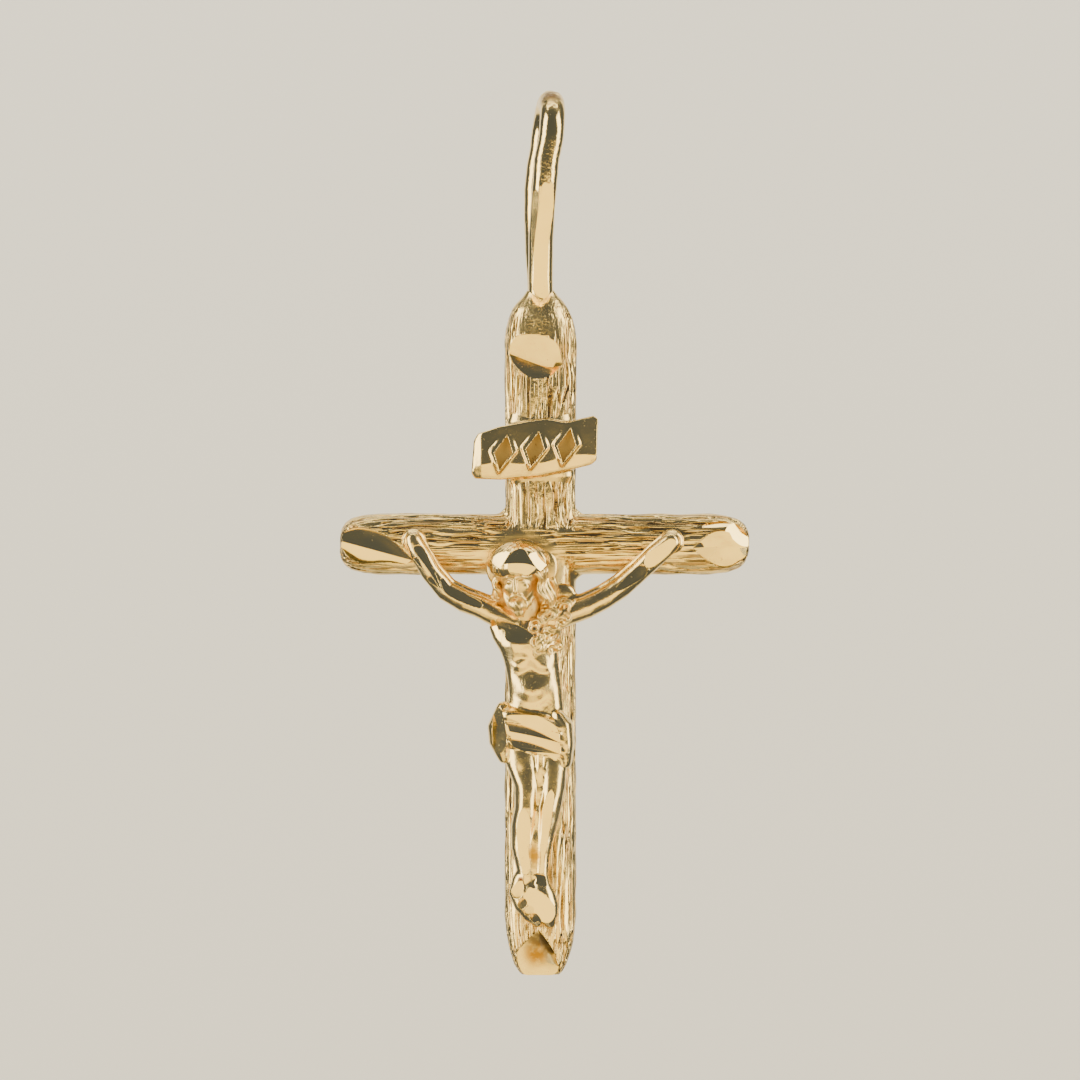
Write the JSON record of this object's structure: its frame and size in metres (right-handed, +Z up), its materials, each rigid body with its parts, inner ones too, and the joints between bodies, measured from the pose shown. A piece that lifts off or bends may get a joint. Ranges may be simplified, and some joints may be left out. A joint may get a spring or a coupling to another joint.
{
  "type": "crucifix pendant",
  "caption": "Cast log cross with a diamond-cut corpus and slanted title plaque, hanging from a long narrow wire bail.",
  "frame": {"origin": "the seat: the inside top of the bail's arch, where the pendant hangs", "axes": "+Z up along the upright, -Y out of the front where the corpus is, -X to the viewer's left"},
  "size_m": [0.0164, 0.005, 0.0355],
  "materials": {
    "cast_gold": "cast yellow gold, bright on its high places and diamond-cut flats, amber in its recesses",
    "wire_gold": "drawn yellow gold wire, polished, lightly scratched by wear"
  },
  "bodies": {
    "root": {"crucifix": "cast_gold", "bail": "wire_gold"}
  },
  "joints": []
}
